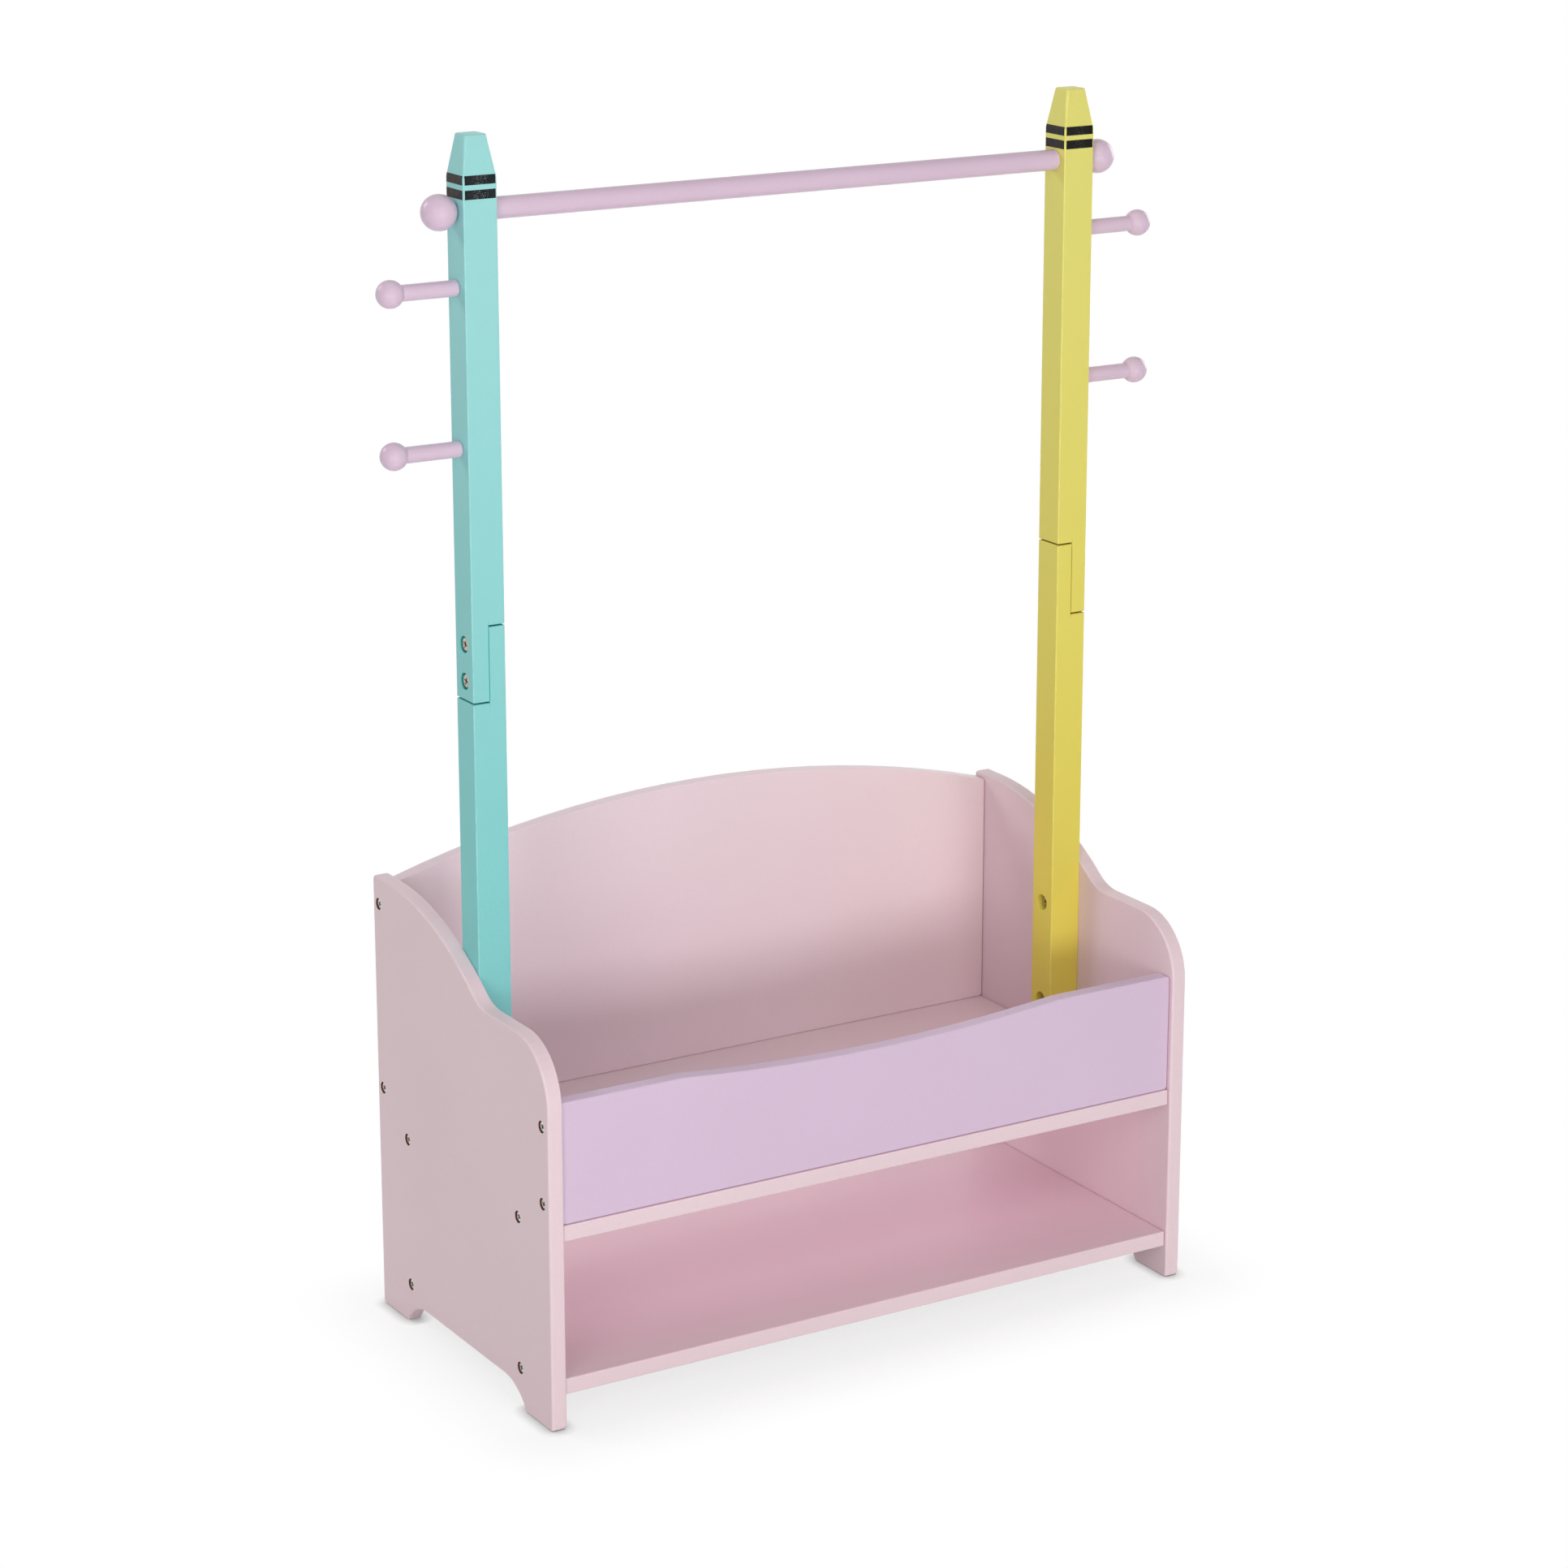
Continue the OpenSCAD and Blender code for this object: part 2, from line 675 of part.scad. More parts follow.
// Studs from the balls through the posts into the rail
module rail_studs() {
    l = stud_in_ball + post_w + stud_in_rod;
    color(zinc) both_sides()
        at_left(-inner_x - stud_in_ball, [post_y, rail_z]) rod(bolt_d, l, stud_ease);
}

// Rod that butts on the post and ends in the ball's socket
module peg_rod(z) {
    l = peg_l - peg_seat + peg_socket - hole_spare;
    color(lilac) difference() {
        at_left(-inner_x - l, [post_y, z]) rod(peg_d, l, rod_end_r, edge_steps);
        at_left(-inner_x - stud_in_rod - hole_spare, [post_y, z])
            hole(bolt_d + 2 * fit, stud_in_rod + hole_spare + 1);
    }
}

module peg_ball(z) {
    color(lilac) difference() {
        translate([-inner_x - peg_l, post_y, z]) rotate([0, 90, 0]) sphere(peg_ball_d / 2, $fn = 64);
        at_left(-inner_x - peg_l + peg_seat - peg_socket, [post_y, z])
            hole(peg_d + 2 * fit, peg_ball_d);
    }
}

module left_upper_peg_rod() {
    peg_rod(peg_heights[0]);
}

module left_lower_peg_rod() {
    peg_rod(peg_heights[1]);
}

module right_upper_peg_rod() {
    mirror([1, 0, 0]) peg_rod(peg_heights[0]);
}

module right_lower_peg_rod() {
    mirror([1, 0, 0]) peg_rod(peg_heights[1]);
}

module left_upper_peg_ball() {
    peg_ball(peg_heights[0]);
}

module left_lower_peg_ball() {
    peg_ball(peg_heights[1]);
}

module right_upper_peg_ball() {
    mirror([1, 0, 0]) peg_ball(peg_heights[0]);
}

module right_lower_peg_ball() {
    mirror([1, 0, 0]) peg_ball(peg_heights[1]);
}

module peg_studs() {
    color(zinc) both_sides()
        for (z = peg_heights)
            at_left(-inner_x - stud_in_rod, [post_y, z]) rod(bolt_d, stud_in_rod + stud_in_post, stud_ease);
}

module panel_bolts() {
    color(zinc)
        for (p = side_bolts)
            at_left(-half_w + bolt_seat, p) bolt(bolt_head_d, bolt_l);
}

module left_panel_bolts() {
    panel_bolts();
}

module right_panel_bolts() {
    mirror([1, 0, 0]) panel_bolts();
}

// Barrel nut along +Z, cross-drilled along X and slotted at its outer end
module barrel_nut() {
    slot_w = 1.4;
    slot_depth = 1.5;
    difference() {
        cylinder(d = nut_d, h = nut_l, $fn = 40);
        translate([-nut_d, 0, nut_l / 2]) rotate([0, 90, 0]) hole(bolt_d + 2 * fit, 2 * nut_d);
        translate([-nut_d / 2, -slot_w / 2, -1]) cube([nut_d, slot_w, slot_depth + 1]);
    }
}

module barrel_nuts() {
    nut_x = -inner_x + nut_in;
    nut_end = (board_t - nut_l) / 2;
    color(zinc) both_sides() {
        for (p = shelf_bolts)
            translate([nut_x, p[0], p[1] - nut_l / 2]) barrel_nut();
        for (p = front_bolts)
            translate([nut_x, bin_front_y + board_t - nut_end, p[1]]) rotate([90, 0, 0]) barrel_nut();
        for (p = back_bolts)
            translate([nut_x, rear_y - nut_end, p[1]]) rotate([90, 0, 0]) barrel_nut();
    }
}

module locating_dowels() {
    ease = 1;
    color(beech) both_sides()
        for (p = side_dowels)
            at_left(-inner_x - dowel_in_side, p) rod(dowel_d, dowel_l, ease);
}

// Bolts from the posts' inner faces into the side panels
module post_bolts() {
    l = post_w - post_recess + insert_l - 1;
    color(zinc) both_sides()
        for (z = post_bolt_heights)
            translate([-post_in_x - post_recess, post_y, z]) rotate([0, -90, 0]) bolt(post_head_d, l);
}

module post_inserts() {
    color(zinc) both_sides()
        for (z = post_bolt_heights)
            translate([-inner_x, post_y, z]) rotate([0, -90, 0]) insert();
}

// Bolts from the posts' outer faces through the half-lap joint
module lap_bolts() {
    l = post_w / 2 - bolt_seat + insert_l - 1;
    color(zinc) both_sides()
        for (z = lap_bolt_heights)
            at_left(-inner_x + bolt_seat, [post_y, z]) bolt(post_head_d, l);
}

module lap_inserts() {
    color(zinc) both_sides()
        for (z = lap_bolt_heights)
            at_left(-post_mid_x, [post_y, z]) insert();
}

left_side_panel();
right_side_panel();
back_panel();
bin_front_panel();
bin_floor();
bottom_shelf();
left_post_lower();
left_post_upper();
right_post_lower();
right_post_upper();
left_post_bands();
right_post_bands();
hanging_rail();
left_rail_ball();
right_rail_ball();
rail_studs();
left_upper_peg_rod();
left_lower_peg_rod();
right_upper_peg_rod();
right_lower_peg_rod();
left_upper_peg_ball();
left_lower_peg_ball();
right_upper_peg_ball();
right_lower_peg_ball();
peg_studs();
left_panel_bolts();
right_panel_bolts();
barrel_nuts();
locating_dowels();
post_bolts();
post_inserts();
lap_bolts();
lap_inserts();
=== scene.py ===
import math

import bpy
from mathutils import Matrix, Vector

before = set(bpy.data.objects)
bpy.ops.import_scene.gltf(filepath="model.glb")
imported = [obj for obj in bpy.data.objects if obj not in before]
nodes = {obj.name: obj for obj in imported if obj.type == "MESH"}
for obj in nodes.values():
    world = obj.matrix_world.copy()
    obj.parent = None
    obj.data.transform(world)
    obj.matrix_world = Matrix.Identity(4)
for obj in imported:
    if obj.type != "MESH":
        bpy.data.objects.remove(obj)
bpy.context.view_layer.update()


# ---- colours -------------------------------------------------------------------------------------

def srgb(r, g, b):
    """A colour given in 0-255 display values, as linear values for a shader."""
    def one(c):
        c /= 255.0
        return c / 12.92 if c <= 0.04045 else ((c + 0.055) / 1.055) ** 2.4
    return (one(r), one(g), one(b), 1.0)


def grey(level):
    """A grey of a linear level."""
    return (level, level, level, 1.0)


def shade(colour, factor, tint=(1.0, 1.0, 1.0)):
    """A colour made darker or lighter, and tinted."""
    return tuple(min(1.0, c * factor * t) for c, t in zip(colour[:3], tint)) + (1.0,)


PINK = srgb(237, 214, 220)
# A paler copy of the pink for the back panel: painted light that brightens it.
PINK_LIT_BACK = srgb(246, 225, 232)
LILAC = srgb(221, 198, 221)
LILAC_ROUND = srgb(222, 197, 216)
# The posts' deeper colours are painted shade in the half-laps' seams and gaps and in the recesses of their bolts.
TEAL_SHADE = srgb(0, 168, 163)
# The posts' low and high colours differ by painted light: the teal turns paler towards its tip, and the yellow is
# deeper low down, as painted bounce light from the pink bin.
TEAL_LOW = srgb(134, 213, 211)
TEAL_LIT_HIGH = srgb(161, 222, 220)
YELLOW_SHADE = srgb(178, 154, 24)
YELLOW_BOUNCE_LOW = srgb(234, 217, 92)
YELLOW_HIGH = srgb(232, 225, 124)
FIBREBOARD = srgb(128, 70, 38)
ZINC = srgb(226, 231, 229)
ZINC_WARM = srgb(208, 192, 178)
BLACK_COOL, BLACK_WARM = srgb(22, 26, 30), srgb(17, 15, 11)
# The film's lighter colours on the posts' side faces: a painted reflection of the bright studio, seen at a slant.
SLANT_SHEEN_BROWN, SLANT_SHEEN_GREY = srgb(50, 45, 44), srgb(42, 40, 39)
FLECK = srgb(150, 158, 156)
BEECH = srgb(206, 166, 120)


# ---- places that materials and the floor need, in metres -----------------------------------------

# Half the width and depth of the rack's footprint.
HALF_WIDTH, HALF_DEPTH = 0.343, 0.170

# The panel bolts' axes as (y, z), a radius just outside their holes' walls, and the |x| just inside the side
# panels' outer faces where bare fibreboard ends.
PANEL_BOLTS = ((-0.110, 0.0395), (0.110, 0.0395), (-0.110, 0.1845), (0.110, 0.1845),
               (-0.1575, 0.213), (-0.1575, 0.285), (0.1595, 0.220), (0.1595, 0.401))
BORE_REACH = 0.0059
BORE_MOUTH = 0.3425

# The |x| range over which the painted shade line at a board's end comes in, the bin front's lower edge, and the
# height over which the painted shade line along that edge goes out.
BOARD_END = (0.3268, 0.3274)
BIN_FRONT_FOOT = 0.1923
FOOT_LINE = 0.0006

# The posts' axes and the half-laps' middles; half the distance between a lap's two gaps and half the length of
# its seam; half the widths of seam and gap; and the range, from a post's middle plane to just under its front
# and back faces, over which the seam comes in.
POST_X, POST_Y, LAP_Z = 0.31175, 0.002, 0.665
LAP_HALF, SEAM_LENGTH_HALF = 0.0345, 0.0348
SEAM_HALF, GAP_HALF = 0.00045, 0.0014
POST_SKIN = (0.0154, 0.0158)
# The heights over which a post's paint turns to its higher colour, a painted change of light with height.
POST_LIGHT_FADE = (0.3, 1.15)

# The lap bolts' axes as (y, z), and the recesses of their heads: radius, middle |x| and half depth.
LAP_BOLTS = ((POST_Y, LAP_Z - 0.01675), (POST_Y, LAP_Z + 0.01675))
RECESS_REACH, RECESS_X, RECESS_HALF = 0.0079, 0.3238, 0.0035

# The |x| of the heads' cross recesses, and how far to each side of it they get painted shade.
CROSS_X, CROSS_HALF = (0.3404, 0.3254, 0.3016), 0.0008

# The distance from the middle of a band's front or back over which its flecks thin out.
FLECK_FADE = (0.003, 0.009)


# ---- what the paint and film look like -----------------------------------------------------------

# The range that holds most of a noise's values.
MOST = (0.3, 0.7)
# Noise scales, and the stretched ones of the fibres under the paint.
BROAD, SPECKLE, SHEEN, PEEL, HIGHLIGHT_PATCH, SCUFF = 4.0, 620.0, 45.0, 480.0, 90.0, 95.0
GRAIN = {"x": (6, 170, 170), "z": (170, 170, 5)}
# How strongly speckle, the painted highlights on rounded edges and scuffs show, then the painted shade in the
# creases at boards, in the half-laps' seams, gaps and bolt recesses and in the cross recesses; and how deep
# orange peel and fibres are, in metres.
SPECKLE_SHOWS, EDGE_HIGHLIGHT_SHOWS, SCUFF_SHOWS = 0.3, 0.6, 0.15
CREASE_SHADE_SHOWS, LAP_SHADE_SHOWS, CROSS_SHADE_SHOWS = 0.8, 0.9, 0.9
PEEL_DEPTH, FIBRE_DEPTH = 0.00006, 0.00003
# The ranges of roughness on boards and posts and on turned pieces, and the roughness in a mark.
SATIN, TURNED, RAW = (0.31, 0.39), (0.2, 0.27), 0.85
# The indices of refraction are low, because the studio is white in reflections and would veil the faces seen at
# a slant.
IOR_BOARD, IOR_TEAL, IOR_TURNED, IOR_FILM = 1.25, 1.18, 1.31, 1.22


# ---- node helpers --------------------------------------------------------------------------------

class Graph:
    """The nodes of a material or of the world, built from code in reading order."""

    def __init__(self, owner, output="ShaderNodeOutputMaterial"):
        self.owner = owner
        owner.use_nodes = True
        self.tree = owner.node_tree
        self.tree.nodes.clear()
        self.out = self.tree.nodes.new(output)

    def node(self, kind, **values):
        made = self.tree.nodes.new(kind)
        for key, value in values.items():
            setattr(made, key, value)
        return made

    def feed(self, target, value):
        """Puts a socket or a constant on an input."""
        if isinstance(value, bpy.types.NodeSocket):
            self.tree.links.new(value, target)
        else:
            target.default_value = value

    def fed(self, kind, inputs, **values):
        """Makes a node, puts values on its inputs, named or numbered, and gives its first output."""
        made = self.node(kind, **values)
        for key, value in inputs.items():
            self.feed(made.inputs[key], value)
        return made.outputs[0]

    def math(self, operation, a, b=None):
        inputs = {0: a} if b is None else {0: a, 1: b}
        return self.fed("ShaderNodeMath", inputs, operation=operation)

    def product(self, first, *others):
        for other in others:
            first = self.math("MULTIPLY", first, other)
        return first

    def highest(self, first, *others):
        for other in others:
            first = self.math("MAXIMUM", first, other)
        return first

    def absolute(self, value):
        return self.math("ABSOLUTE", value)

    def away(self, value, centre):
        """The distance of a value from a centre."""
        return self.absolute(self.math("SUBTRACT", value, centre))

    def position(self):
        """The point in the object's own frame, in metres."""
        return self.node("ShaderNodeTexCoord").outputs["Object"]

    def normal(self):
        """The normal's x, y and z."""
        return self.split(self.node("ShaderNodeTexCoord").outputs["Normal"])

    def split(self, vector):
        made = self.node("ShaderNodeSeparateXYZ")
        self.feed(made.inputs[0], vector)
        return made.outputs

    def stretch(self, vector, scale, shift=(0, 0, 0)):
        return self.fed("ShaderNodeMapping", {"Vector": vector, "Scale": scale, "Location": shift})

    def noise(self, vector, scale, detail=2.0, rough=0.5):
        return self.fed("ShaderNodeTexNoise",
                        {"Vector": vector, "Scale": scale, "Detail": detail, "Roughness": rough})

    def between(self, value, low, high, to_low=0.0, to_high=1.0):
        """value's range low..high carried to to_low..to_high, smoothly and clamped."""
        return self.fed("ShaderNodeMapRange",
                        {"Value": value, "From Min": low, "From Max": high, "To Min": to_low, "To Max": to_high},
                        interpolation_type="SMOOTHSTEP")

    def near(self, value, centre, half):
        """1 where the value is within half of the centre, with a soft limit."""
        return self.between(self.away(value, centre), half * 0.8, half * 1.2, 1.0, 0.0)

    def mix(self, factor, a, b):
        made = self.node("ShaderNodeMix", data_type="RGBA")
        for key, value in (("Factor", factor), (6, a), (7, b)):
            self.feed(made.inputs[key], value)
        return made.outputs[2]

    def bump(self, height, distance, after=None):
        inputs = {"Height": height, "Distance": distance}
        if after is not None:
            inputs["Normal"] = after
        return self.fed("ShaderNodeBump", inputs)

    def blend(self, factor, a, b):
        """One shader turning into another."""
        return self.fed("ShaderNodeMixShader", {0: factor, 1: a, 2: b})

    def clear_rays(self):
        """1 for camera, glossy and transmission rays, which see the plain white studio."""
        path = self.node("ShaderNodeLightPath").outputs
        return self.highest(path["Is Camera Ray"], path["Is Glossy Ray"], path["Is Transmission Ray"])

    def close(self, surface):
        """Puts the surface on the output and gives back the material or world."""
        self.feed(self.out.inputs["Surface"], surface)
        return self.owner

    def principled(self, **inputs):
        """The principled shader, with constants on its own sockets and links only where a value varies."""
        return self.close(self.fed("ShaderNodeBsdfPrincipled",
                                    {key.replace("_", " "): value for key, value in inputs.items()}))


def material(name):
    """A new material's graph, and the point in the object's own frame."""
    g = Graph(bpy.data.materials.new(name))
    return g, g.position()


# ---- materials -----------------------------------------------------------------------------------

def paint(name, colour, edge=None, grain=None, higher=None, mark=None, gloss=SATIN, ior=IOR_BOARD):
    """Even satin paint with a fine speckle and orange peel. edge names the axis across a board, or "post", where
    a rounded edge gets a painted highlight, paler in patches; grain names the axis that wood fibres run along
    under the paint; higher is the colour that a post's paint turns to towards its tip, a painted change of light
    with height;
    mark gives a mask and the colour that shows in it; gloss is the range of its roughness."""
    g, here = material(name)
    tone = g.mix(g.between(g.noise(here, BROAD), *MOST),
                 shade(colour, 0.985, (1.0, 0.993, 0.996)), shade(colour, 1.012))
    # painted light: the post's colour changes with height
    if higher:
        tone = g.mix(g.between(g.split(here)[2], *POST_LIGHT_FADE), tone, higher)
    speckle = g.between(g.noise(here, SPECKLE), 0.42, 0.72, 0.0, SPECKLE_SHOWS)
    tone = g.mix(speckle, tone, shade(higher or colour, 0.93))
    rough = g.between(g.noise(here, SHEEN, 3.0, 0.6), 0.25, 0.75, *gloss)
    surface = g.bump(g.noise(here, PEEL, 1.0), PEEL_DEPTH)
    if grain:
        fibre = g.noise(g.stretch(here, GRAIN[grain]), 1.0, 4.0, 0.62)
        surface = g.bump(fibre, FIBRE_DEPTH, surface)
    # painted highlight: rounded edges turn paler, in patches, where they would catch the light
    if edge:
        n = g.normal()
        if edge == "post":
            across = g.between(g.product(g.absolute(n[0]), g.absolute(n[1])), 0.15, 0.45, 0.0, 0.25)
        else:
            axis = g.absolute(n["xyz".index(edge)])
            across = g.product(axis, g.math("SUBTRACT", 1.0, axis))
        ridge = g.between(across, 0.03, 0.25)
        patchy = g.between(g.noise(here, HIGHLIGHT_PATCH, 4.0, 0.65), 0.35, 0.7, 0.3, 1.0)
        edge_highlight = shade(higher, 1.2, (1.15, 1.0, 1.05)) if higher else shade(colour, 1.1, (1.0, 1.0, 0.985))
        tone = g.mix(g.product(ridge, patchy, EDGE_HIGHLIGHT_SHOWS), tone, edge_highlight)
    # a few small scuffs, slightly darker
    scuff = g.between(g.noise(g.stretch(here, (1, 1, 1), (3.1, 1.7, 0.4)), SCUFF, 5.0, 0.7), 0.71, 0.79)
    tone = g.mix(g.product(scuff, SCUFF_SHOWS), tone, shade(colour, 0.78))
    if mark:
        mask, shown = mark(g, here)
        tone = g.mix(mask, tone, shown)
        rough = g.highest(rough, g.product(mask, RAW))
    return g.principled(Base_Color=tone, Roughness=rough, Normal=surface, IOR=ior)


def axis_distance(g, here, axes):
    """The distance to the nearest of some lines along x, given as (y, z)."""
    parts = g.split(here)
    flat = g.fed("ShaderNodeCombineXYZ", {"Y": parts[1], "Z": parts[2]})
    nearest = None
    for y, z in axes:
        reach = g.node("ShaderNodeVectorMath", operation="DISTANCE")
        g.feed(reach.inputs[0], flat)
        g.feed(reach.inputs[1], (0.0, y, z))
        value = reach.outputs["Value"]
        nearest = value if nearest is None else g.math("MINIMUM", nearest, value)
    return nearest


def raw_bores(g, here):
    """Bare fibreboard on the walls of the side panels' bolt holes."""
    inside = g.math("LESS_THAN", axis_distance(g, here, PANEL_BOLTS), BORE_REACH)
    mask = g.product(inside, g.math("LESS_THAN", g.absolute(g.split(here)[0]), BORE_MOUTH))
    fibre = g.noise(g.stretch(here, (260, 900, 900)), 1.0, 5.0, 0.7)
    return mask, g.mix(g.between(fibre, *MOST), shade(FIBREBOARD, 0.5), shade(FIBREBOARD, 1.1))


def lap_shade(shaded):
    """Painted shade, in a deeper colour, in a half-lap's gaps, along its seams and in the recesses of its bolts.
    """
    def mark(g, here):
        x, y, z = g.split(here)
        side = g.absolute(x)
        seam = g.product(g.near(side, POST_X, SEAM_HALF), g.near(z, LAP_Z, SEAM_LENGTH_HALF),
                         g.between(g.away(y, POST_Y), *POST_SKIN))
        facing = g.between(g.absolute(g.normal()[2]), 0.7, 0.95)
        gap = g.product(g.near(g.away(z, LAP_Z), LAP_HALF, GAP_HALF), facing)
        well = g.product(g.math("LESS_THAN", axis_distance(g, here, LAP_BOLTS), RECESS_REACH),
                         g.near(side, RECESS_X, RECESS_HALF))
        return g.product(g.highest(seam, gap, well), LAP_SHADE_SHOWS), shaded
    return mark


def board_crease_shade(colour, foot=None):
    """Painted shade: dark lines in the creases where a board's ends meet the side panels, and along its lower
    edge at height foot.
    """
    def mark(g, here):
        x, _, z = g.split(here)
        crease_shade = g.between(g.absolute(x), *BOARD_END)
        if foot:
            crease_shade = g.highest(crease_shade, g.between(z, foot, foot + FOOT_LINE, 1.0, 0.0))
        return g.product(crease_shade, CREASE_SHADE_SHOWS), shade(colour, 0.5, (1.25, 0.4, 0.85))
    return mark


def black_film(name, face, slant_sheen, flecks):
    """Matt black print. On the posts' side faces it turns lighter, a painted reflection of the bright studio seen
    at a slant, and it has pale flecks along the middle of the front and back faces."""
    g, here = material(name)
    cloud = g.between(g.noise(here, 120.0, 3.0), *MOST)
    front = g.mix(cloud, shade(face, 0.8), shade(face, 1.2))
    side = g.mix(cloud, shade(slant_sheen, 0.85), shade(slant_sheen, 1.15))
    # painted reflection on the side faces
    tone = g.mix(g.between(g.absolute(g.normal()[0]), 0.4, 0.8), front, side)
    middle = g.between(g.away(g.absolute(g.split(here)[0]), POST_X), *FLECK_FADE, 1.0, 0.15)
    dots = g.between(g.noise(here, 1050.0, 1.0), 0.57, 0.66)
    tone = g.mix(g.product(middle, dots, flecks), tone, FLECK)
    rough = g.between(g.noise(here, 300.0), *MOST, 0.42, 0.56)
    return g.principled(Base_Color=tone, Roughness=rough, Normal=g.bump(g.noise(here, 900.0, 1.0), 0.00003),
                        IOR=IOR_FILM)


def zinc(name, colour):
    """Zinc plate with bright and dull specks, with painted shade in the heads' cross recesses."""
    g, here = material(name)
    cloud = g.noise(here, 620.0)
    tone = g.mix(g.between(cloud, 0.38, 0.62), shade(colour, 0.55, (0.95, 1.0, 1.0)), colour)
    side = g.absolute(g.split(here)[0])
    # painted shade in the cross recesses
    cross_shade = g.highest(*[g.near(side, depth, CROSS_HALF) for depth in CROSS_X])
    tone = g.mix(g.product(cross_shade, CROSS_SHADE_SHOWS), tone, shade(colour, 0.06))
    scratch = g.noise(g.stretch(here, (500, 2600, 400)), 1.0, 3.0, 0.6)
    return g.principled(Base_Color=tone, Metallic=1.0, Roughness=g.between(scratch, *MOST, 0.2, 0.38),
                        Normal=g.bump(scratch, 0.00002))


def beech(name):
    """Bare beech with its fibres along x."""
    g, here = material(name)
    fibre = g.noise(g.stretch(here, (18, 420, 420)), 1.0, 5.0, 0.65)
    tone = g.mix(g.between(fibre, *MOST), shade(BEECH, 0.8), shade(BEECH, 1.05))
    return g.principled(Base_Color=tone, Roughness=g.between(fibre, 0.2, 0.8, 0.5, 0.65),
                        Normal=g.bump(fibre, 0.0002))


def dress(look, *names):
    """Gives CAD nodes one material in all their slots."""
    for name in names:
        mesh = nodes[name].data
        mesh.materials.clear()
        mesh.materials.append(look)


PEGS = ("left_upper_peg", "left_lower_peg", "right_upper_peg", "right_lower_peg")

dress(paint("pink_paint_sides", PINK, "x", mark=raw_bores), "left_side_panel", "right_side_panel")
# the back panel's paler pink is painted light
dress(paint("pink_paint_lit_back", PINK_LIT_BACK, "y", mark=board_crease_shade(PINK)), "back_panel")
dress(paint("pink_paint_shelves", PINK, "z", mark=board_crease_shade(PINK)), "bin_floor", "bottom_shelf")
dress(paint("lilac_paint_board", LILAC, "y", mark=board_crease_shade(LILAC, BIN_FRONT_FOOT)), "bin_front_panel")
dress(paint("lilac_paint_rods", LILAC_ROUND, grain="x", gloss=TURNED, ior=IOR_TURNED),
      "hanging_rail", *[peg + "_rod" for peg in PEGS])
dress(paint("lilac_paint_balls", LILAC_ROUND, gloss=TURNED, ior=IOR_TURNED),
      "left_rail_ball", "right_rail_ball", *[peg + "_ball" for peg in PEGS])
dress(paint("teal_paint_post", TEAL_LOW, "post", grain="z", higher=TEAL_LIT_HIGH, mark=lap_shade(TEAL_SHADE),
            ior=IOR_TEAL), "left_post_lower", "left_post_upper")
dress(paint("yellow_paint_post", YELLOW_BOUNCE_LOW, "post", grain="z", higher=YELLOW_HIGH, mark=lap_shade(YELLOW_SHADE)),
      "right_post_lower", "right_post_upper")
dress(black_film("black_film_on_teal", BLACK_COOL, SLANT_SHEEN_BROWN, 0.7), "left_post_bands")
dress(black_film("black_film_on_yellow", BLACK_WARM, SLANT_SHEEN_GREY, 0.2), "right_post_bands")
dress(zinc("zinc_plate", ZINC), "left_panel_bolts", "right_panel_bolts", "barrel_nuts", "rail_studs", "peg_studs")
dress(zinc("zinc_plate_warm", ZINC_WARM), "post_bolts", "post_inserts", "lap_bolts", "lap_inserts")
dress(beech("beech"), "locating_dowels")


# ---- camera --------------------------------------------------------------------------------------

# Solved on the photograph's board corners, bolt heads and ball centres, for a small lens shift.
EYE = Vector((-1.9216, -3.1704, 1.5919))
HEADING, PITCH = math.radians(31.218), math.radians(15.157)
FOCAL_PX, IMAGE_PX, SHIFT_Y = 5120.7, 1932.0, -0.055


def place(name, data, spot, forward):
    """Puts a camera or a lamp in the scene, looking along forward."""
    made = bpy.data.objects.new(name, data)
    bpy.context.scene.collection.objects.link(made)
    made.location = spot
    made.rotation_mode = "QUATERNION"
    made.rotation_quaternion = forward.to_track_quat("-Z", "Y")
    return made


cam_data = bpy.data.cameras.new("camera")
cam_data.sensor_fit = "HORIZONTAL"
cam_data.sensor_width = 36.0
cam_data.lens = FOCAL_PX / IMAGE_PX * cam_data.sensor_width
cam_data.shift_y = SHIFT_Y
cam_data.clip_start, cam_data.clip_end = 0.1, 60.0
bpy.context.scene.camera = place("camera", cam_data, EYE, Vector((
    math.sin(HEADING) * math.cos(PITCH), math.cos(HEADING) * math.cos(PITCH), -math.sin(PITCH))))


# ---- lamps ---------------------------------------------------------------------------------------

MIDDLE = (0.0, 0.0, 0.6)

# Name, place, size in metres, watts, and whether reflections show the lamp.
LAMPS = (
    ("front_high", (-0.6, -3.4, 2.8), (1.8, 1.4), 27.0, True),
    ("front_low", (-0.3, -3.8, 0.55), (2.4, 0.8), 43.0, True),
    ("left_front_mid", (-3.0, -2.4, 1.5), (1.2, 1.6), 13.0, True),
    ("left_front_low", (-2.8, -2.8, 0.5), (1.2, 1.0), 15.5, True),
    ("back_left", (-2.2, 2.4, 2.6), (1.4, 1.4), 36.0, True),
    ("left_high", (-2.8, -2.2, 2.8), (1.6, 1.6), 8.5, True),
    ("back_low", (0.6, 2.8, 0.7), (2.0, 1.0), 4.0, False),
    ("back_fill", (1.6, 3.4, 1.9), (1.8, 1.6), 22.0, False),
    ("right_fill", (3.4, 0.7, 1.5), (1.6, 1.8), 40.0, True),
    ("top", (0.0, -0.3, 3.6), (2.2, 2.2), 14.0, True),
)

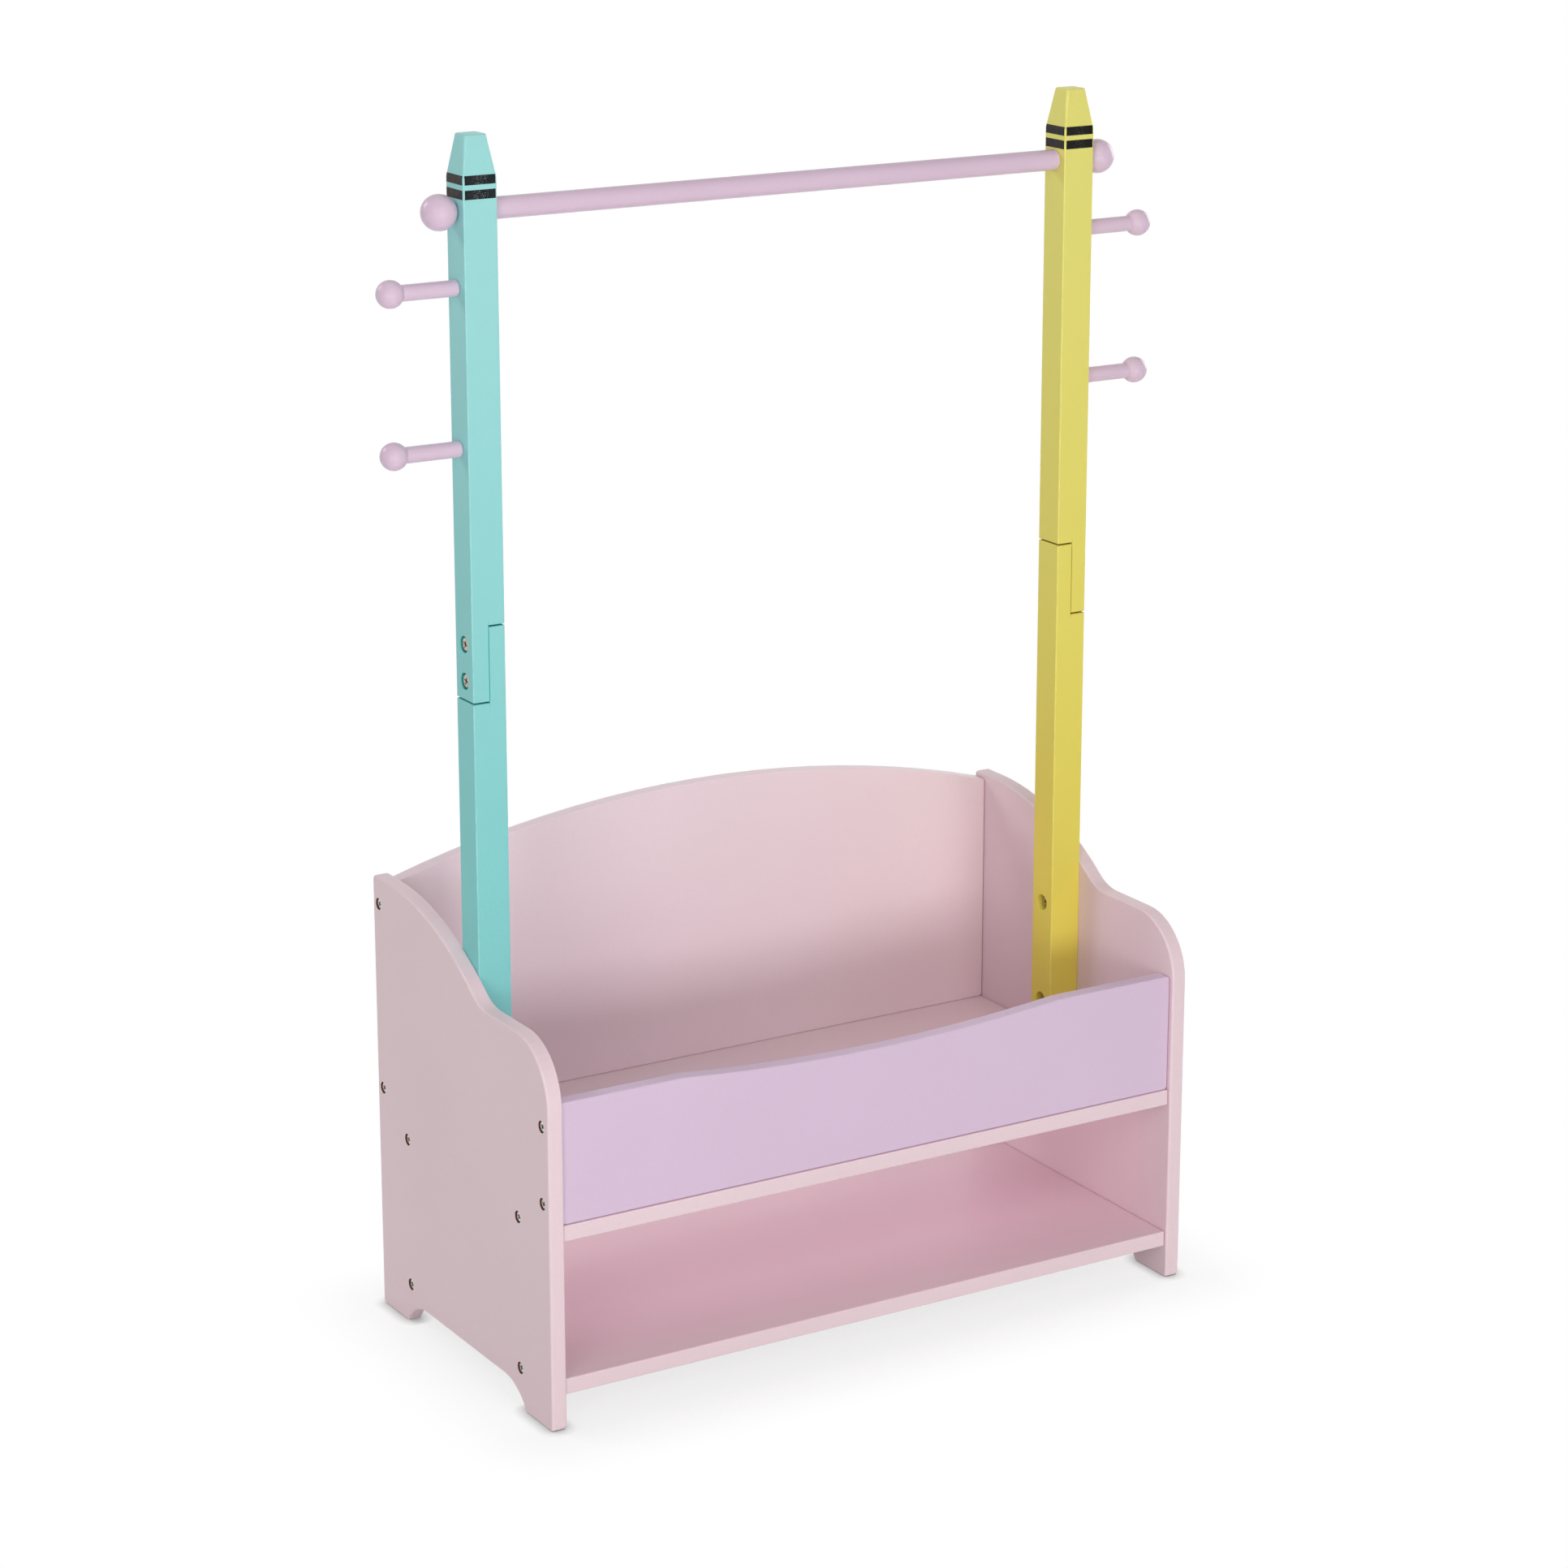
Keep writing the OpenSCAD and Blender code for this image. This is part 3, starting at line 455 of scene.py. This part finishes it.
# What the pink underside of the bin floor gives back to the lower compartment: two lamps to the left and right
# that look down. Their aim is a hair off the vertical, so that a direction for their upper side is left.
BOUNCE_X, BOUNCE_Z, BOUNCE_SIZE, BOUNCE_WATTS = 0.16, 0.17, (0.3, 0.28), 0.063
BOUNCE_COLOUR = (1.0, 0.60, 0.86)
HAIR = 0.0001


def softbox(name, spot, aim, size, watts):
    """A rectangular lamp that shines from spot towards aim."""
    data = bpy.data.lights.new(name, "AREA")
    data.shape = "RECTANGLE"
    data.size, data.size_y = size
    data.energy = watts
    return place(name, data, spot, Vector(aim) - Vector(spot))


for name, spot, size, watts, reflected in LAMPS:
    softbox(name, spot, MIDDLE, size, watts).visible_glossy = reflected

for name, x in (("shelf_bounce_l", -BOUNCE_X), ("shelf_bounce_r", BOUNCE_X)):
    bounce = softbox(name, (x, 0.0, BOUNCE_Z), (x, HAIR, 0.0), BOUNCE_SIZE, BOUNCE_WATTS)
    bounce.data.color = BOUNCE_COLOUR
    bounce.visible_camera = False
    bounce.visible_glossy = False


# ---- world and floor -----------------------------------------------------------------------------

# The world's light on surfaces, and half the width of the floor in metres.
WORLD_LIGHT, FLOOR_HALF = 0.17, 12.0
# The floor's two tones where it gives light back to the rack.
FLOOR_PALE, FLOOR_PALER = grey(0.80), grey(0.83)
# The floor as the camera sees it near the rack: the part that takes the shadow, the even brightness added to it,
# and in metres how far from the feet that brightness dips and how far out the floor turns plain white.
SHADOW_PART, LIFT, CONTACT_REACH, FLOOR_FADE = grey(0.26), 0.755, 0.013, 0.1


def background(g, strength):
    """A white background of some strength."""
    return g.fed("ShaderNodeBackground", {"Color": grey(1.0), "Strength": strength})


def past(g, value, limit):
    """How far a coordinate lies outside plus or minus limit."""
    return g.highest(g.math("SUBTRACT", g.absolute(value), limit), 0.0)


def floor_material():
    """A pale floor that keeps the shadow near the rack and fades to plain white away from it."""
    g, here = material("floor")
    edge_highlight = g.mix(g.between(g.noise(here, 14.0, 3.0), 0.2, 0.8), FLOOR_PALE, FLOOR_PALER)
    body = g.fed("ShaderNodeBsdfDiffuse", {"Color": edge_highlight})
    part = g.fed("ShaderNodeBsdfDiffuse", {"Color": SHADOW_PART})
    contact = g.node("ShaderNodeAmbientOcclusion", samples=16)
    contact.inputs["Distance"].default_value = CONTACT_REACH
    lift = g.fed("ShaderNodeEmission", {"Strength": g.product(contact.outputs["AO"], LIFT)})
    near = g.fed("ShaderNodeAddShader", {0: part, 1: lift})
    far = g.fed("ShaderNodeEmission", {"Strength": 1.0})
    x, y, _ = g.split(here)
    out_x, out_y = past(g, x, HALF_WIDTH), past(g, y, HALF_DEPTH)
    spread = g.math("SQRT", g.math("ADD", g.product(out_x, out_x), g.product(out_y, out_y)))
    seen = g.blend(g.between(spread, 0.0, FLOOR_FADE), near, far)
    return g.close(g.blend(g.clear_rays(), body, seen))


world = bpy.data.worlds.new("studio")
bpy.context.scene.world = world
studio = Graph(world, "ShaderNodeOutputWorld")
studio.close(studio.blend(studio.clear_rays(), background(studio, WORLD_LIGHT), background(studio, 1.0)))

corners = [(x * FLOOR_HALF, y * FLOOR_HALF, 0) for x, y in ((-1, -1), (1, -1), (1, 1), (-1, 1))]
floor_mesh = bpy.data.meshes.new("floor")
floor_mesh.from_pydata(corners, [], [(0, 1, 2, 3)])
floor_mesh.materials.append(floor_material())
floor = bpy.data.objects.new("floor", floor_mesh)
bpy.context.scene.collection.objects.link(floor)


# ---- end -----------------------------------------------------------------------------------------

bpy.context.scene.view_settings.view_transform = "Standard"
